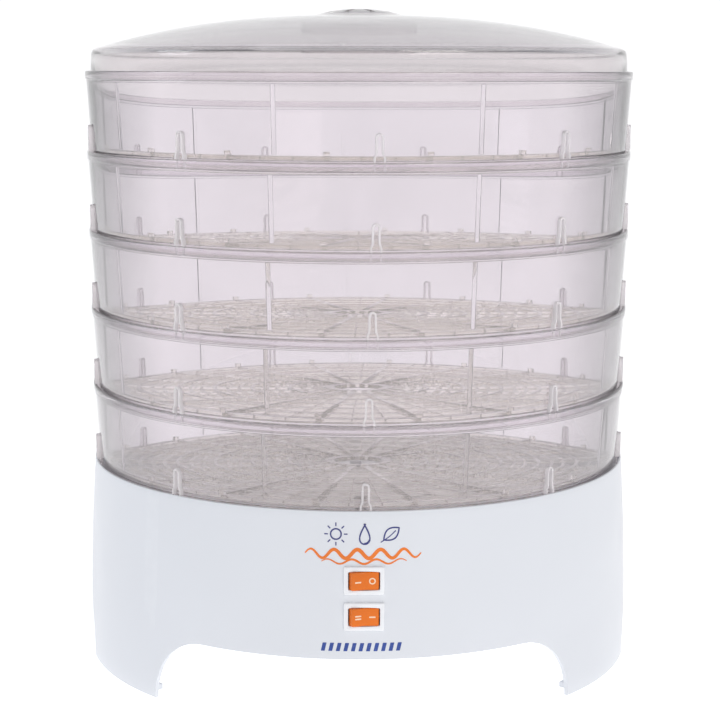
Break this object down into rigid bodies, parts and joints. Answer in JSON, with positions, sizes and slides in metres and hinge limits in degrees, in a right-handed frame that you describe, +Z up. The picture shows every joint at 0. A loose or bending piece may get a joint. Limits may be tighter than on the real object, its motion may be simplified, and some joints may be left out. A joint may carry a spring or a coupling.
{
  "type": "food dehydrator",
  "caption": "Round countertop food dehydrator: white three-legged base with fan heater and rocker switches, stacked clear sieve trays and a clear domed vented lid.",
  "frame": {"origin": "on the table, under the middle of the feet", "axes": "+Z up, the switches face -Y, +X to the right of a person facing them"},
  "size_m": [0.3184, 0.3255, 0.3705],
  "materials": {
    "white_housing": "satin moulded plastic with a faint blue cast",
    "grey_cover": "moulded plastic with slots",
    "clear_tray": "clear moulded plastic with a faint violet cast",
    "clear_lid": "clear moulded plastic, polished",
    "switch_white": "glossy",
    "rocker_orange": "translucent orange",
    "pad_rubber": "matt",
    "screw_steel": "zinc plated",
    "core_steel": "stacked laminations",
    "bracket_steel": "pressed sheet",
    "shield_steel": "rolled sheet",
    "bronze_bush": "sintered",
    "copper_winding": "enamelled wire",
    "bobbin_nylon": "moulded",
    "fan_black": "moulded",
    "mica": "layered mineral sheet",
    "heater_wire": "oxidised resistance wire",
    "contact_brass": "tinned blades",
    "neon_glass": "small glass lamp",
    "control_dark": "phenolic",
    "wire_sleeve": "insulated wire"
  },
  "bodies": {
    "base": {"base_housing": "white_housing", "base_deck": "white_housing", "bottom_cover": "grey_cover", "foot_pad_left": "pad_rubber", "foot_pad_right": "pad_rubber", "foot_pad_back": "pad_rubber", "cover_screws": "screw_steel", "deck_screws": "screw_steel", "cord_gland": "switch_white", "terminal_block": "bobbin_nylon", "switch_frame_power": "switch_white", "switch_frame_heat": "switch_white", "switch_terminals_power": "contact_brass", "switch_terminals_heat": "contact_brass", "neon_lamps": "neon_glass", "motor_core": "core_steel", "coil_bobbin": "bobbin_nylon", "motor_coil": "copper_winding", "motor_bracket_lower": "bracket_steel", "motor_bracket_upper": "bracket_steel", "bearing_lower": "bronze_bush", "bearing_upper": "bronze_bush", "motor_screws": "screw_steel", "motor_posts": "grey_cover", "heat_shield": "shield_steel", "heater_frame": "mica", "heater_coil": "heater_wire", "thermostat": "control_dark", "thermal_fuse": "bracket_steel", "wires_mains": "wire_sleeve", "wires_switch": "wire_sleeve", "wires_motor": "wire_sleeve", "wires_heater": "wire_sleeve"},
    "fan": {"fan_shaft": "screw_steel", "motor_rotor": "core_steel", "fan_impeller": "fan_black", "fan_clip": "screw_steel"},
    "power_rocker": {"rocker_power": "rocker_orange"},
    "heat_rocker": {"rocker_heat": "rocker_orange"},
    "tray_5": {"tray_5_wall": "clear_tray", "tray_5_sieve": "clear_tray"},
    "tray_4": {"tray_4_wall": "clear_tray", "tray_4_sieve": "clear_tray"},
    "tray_3": {"tray_3_wall": "clear_tray", "tray_3_sieve": "clear_tray"},
    "tray_2": {"tray_2_wall": "clear_tray", "tray_2_sieve": "clear_tray"},
    "tray_1": {"tray_1_wall": "clear_tray", "tray_1_sieve": "clear_tray"},
    "lid_body": {"lid": "clear_lid"}
  },
  "joints": [
    {"name": "fan_spin", "type": "hinge", "parent": "base", "child": "fan", "pos_m": [0, 0, 0.08], "axis": [0, 0, 1], "continuous": true},
    {"name": "power_rock", "type": "hinge", "parent": "base", "child": "power_rocker", "pos_m": [0, -0.15507, 0.08], "axis": [0, 0, -1], "range_deg": [0, 18]},
    {"name": "heat_rock", "type": "hinge", "parent": "base", "child": "heat_rocker", "pos_m": [0, -0.15611, 0.061], "axis": [0, 0, -1], "range_deg": [0, 18]},
    {"name": "tray_5_lift", "type": "slide", "parent": "base", "child": "tray_5", "axis": [0, 0, 1], "range_m": [0, 0.055]},
    {"name": "tray_4_lift", "type": "slide", "parent": "tray_5", "child": "tray_4", "axis": [0, 0, 1], "range_m": [0, 0.055]},
    {"name": "tray_3_lift", "type": "slide", "parent": "tray_4", "child": "tray_3", "axis": [0, 0, 1], "range_m": [0, 0.055]},
    {"name": "tray_2_lift", "type": "slide", "parent": "tray_3", "child": "tray_2", "axis": [0, 0, 1], "range_m": [0, 0.055]},
    {"name": "tray_1_lift", "type": "slide", "parent": "tray_2", "child": "tray_1", "axis": [0, 0, 1], "range_m": [0, 0.055]},
    {"name": "lid_lift", "type": "slide", "parent": "tray_1", "child": "lid_body", "axis": [0, 0, 1], "range_m": [0, 0.055]}
  ]
}
